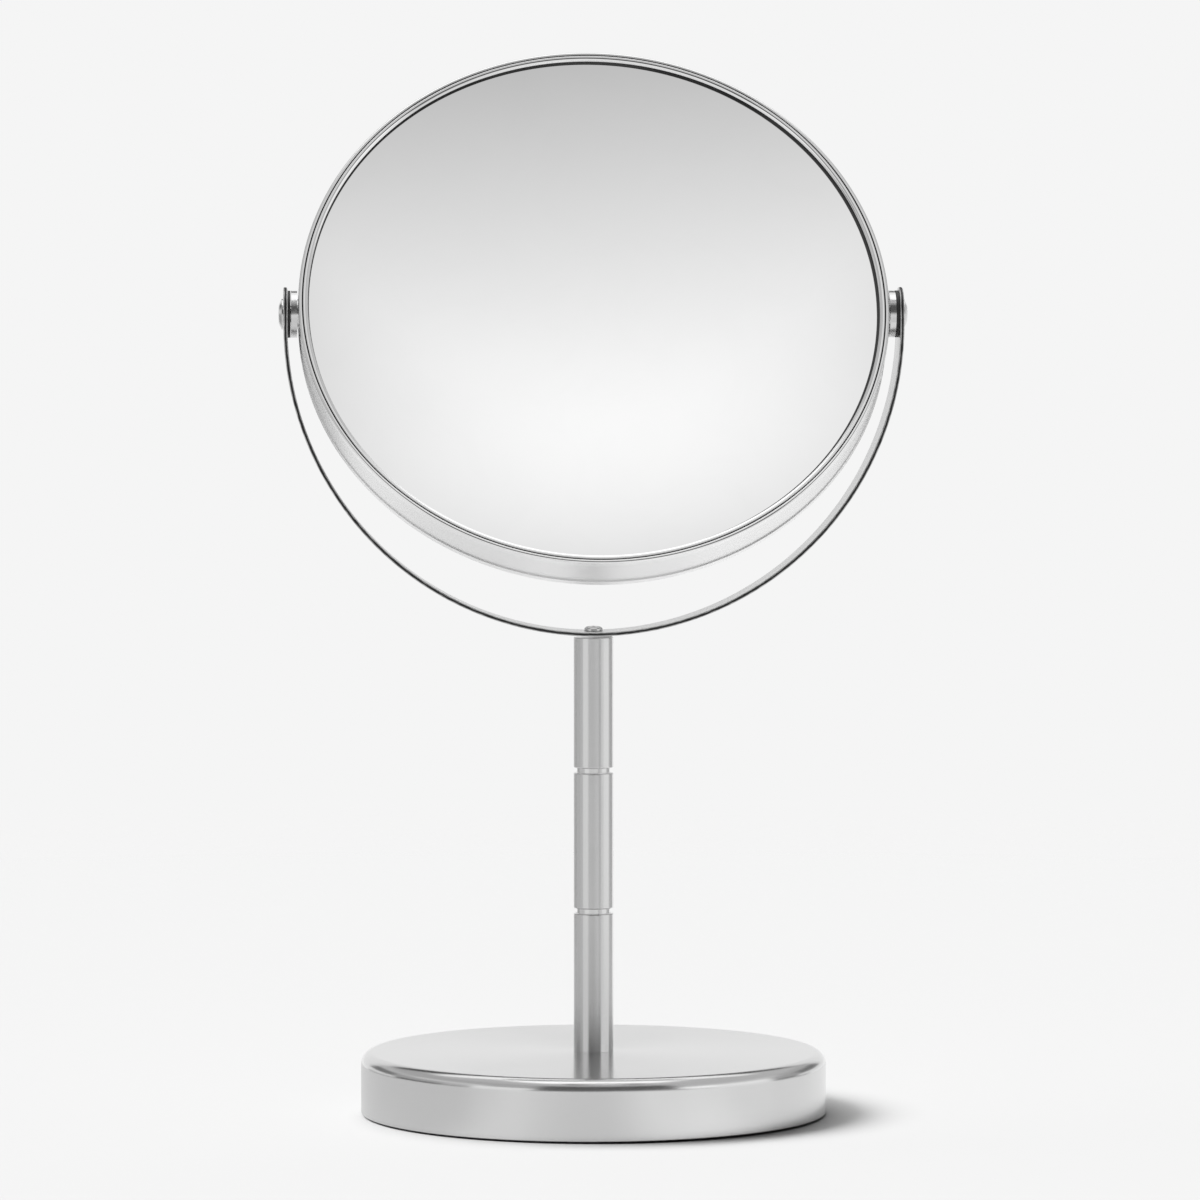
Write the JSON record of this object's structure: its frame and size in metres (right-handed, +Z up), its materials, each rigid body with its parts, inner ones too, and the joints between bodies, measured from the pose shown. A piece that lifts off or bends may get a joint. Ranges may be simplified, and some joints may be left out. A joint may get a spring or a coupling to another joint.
{
  "type": "extendable shaving mirror",
  "caption": "Table shaving mirror: a weighted round base, a telescopic post, a swivelling half-ring yoke and a tilting round mirror that is plain on one face and magnifies on the other.",
  "frame": {"origin": "centre of the round base on the surface that it stands on", "axes": "+Z up along the post; +X to the right of a person who stands on the -Y side and looks at the plain glass; the tilt axis lies along X at rest"},
  "size_m": [0.1878, 0.1394, 0.3181],
  "materials": {
    "base_steel": "stainless sheet, fine circular satin grain on top, polished rolled edge",
    "tube_steel": "stainless tube, polished with fine lengthwise grain",
    "rod_steel": "ground and polished steel rod",
    "yoke_steel": "stainless strip with fine lengthwise grain",
    "band_steel": "polished stainless band",
    "bezel_chrome": "bright chrome-plated rolled sheet",
    "pivot_chrome": "bright plated screw, collar and washer",
    "screw_steel": "plain zinc-plated hardware",
    "plain_mirror": "silvered flat glass",
    "magnifying_mirror": "silvered dished glass",
    "weight_iron": "rough cast and blackened",
    "cover_plastic": "fine moulded texture",
    "pad_foam": "closed-cell foam rubber",
    "bush_plastic": "natural nylon",
    "washer_plastic": "black nylon",
    "board": "grey foam board",
    "spacer_plastic": "white moulded ring"
  },
  "bodies": {
    "base": {"base_shell": "base_steel", "base_cover": "cover_plastic", "base_pad": "pad_foam", "base_weight": "weight_iron", "base_screw": "screw_steel", "base_washer": "screw_steel", "post_foot_plug": "screw_steel", "lower_tube": "tube_steel", "lower_friction_bush": "bush_plastic"},
    "middle_section": {"middle_tube": "tube_steel", "lower_extension_rod": "rod_steel", "lower_stop_ring": "bush_plastic", "upper_friction_bush": "bush_plastic"},
    "top_section": {"upper_tube": "tube_steel", "upper_extension_rod": "rod_steel", "upper_stop_ring": "bush_plastic", "post_top_plug": "screw_steel", "yoke_friction_washer": "bush_plastic", "yoke_screw": "pivot_chrome"},
    "yoke": {"yoke_strip": "yoke_steel", "left_nylon_washer": "washer_plastic", "right_nylon_washer": "washer_plastic"},
    "mirror_head": {"drum_band": "band_steel", "front_bezel": "bezel_chrome", "rear_bezel": "bezel_chrome", "front_mirror": "plain_mirror", "rear_mirror": "magnifying_mirror", "backing_board": "board", "spacer_ring": "spacer_plastic", "left_pivot_collar": "pivot_chrome", "left_steel_washer": "pivot_chrome", "left_pivot_screw": "pivot_chrome", "left_pivot_nut": "screw_steel", "right_pivot_collar": "pivot_chrome", "right_steel_washer": "pivot_chrome", "right_pivot_screw": "pivot_chrome", "right_pivot_nut": "screw_steel"}
  },
  "joints": [
    {"name": "lower_extension", "type": "slide", "parent": "base", "child": "middle_section", "axis": [0, 0, 1], "range_m": [0, 0.022]},
    {"name": "upper_extension", "type": "slide", "parent": "middle_section", "child": "top_section", "axis": [0, 0, 1], "range_m": [0, 0.022]},
    {"name": "yoke_swivel", "type": "hinge", "parent": "top_section", "child": "yoke", "pos_m": [0, 0, 0.1436], "axis": [0, 0, 1], "continuous": true},
    {"name": "mirror_tilt", "type": "hinge", "parent": "yoke", "child": "mirror_head", "pos_m": [0, 0, 0.2395], "axis": [1, 0, 0], "continuous": true}
  ]
}
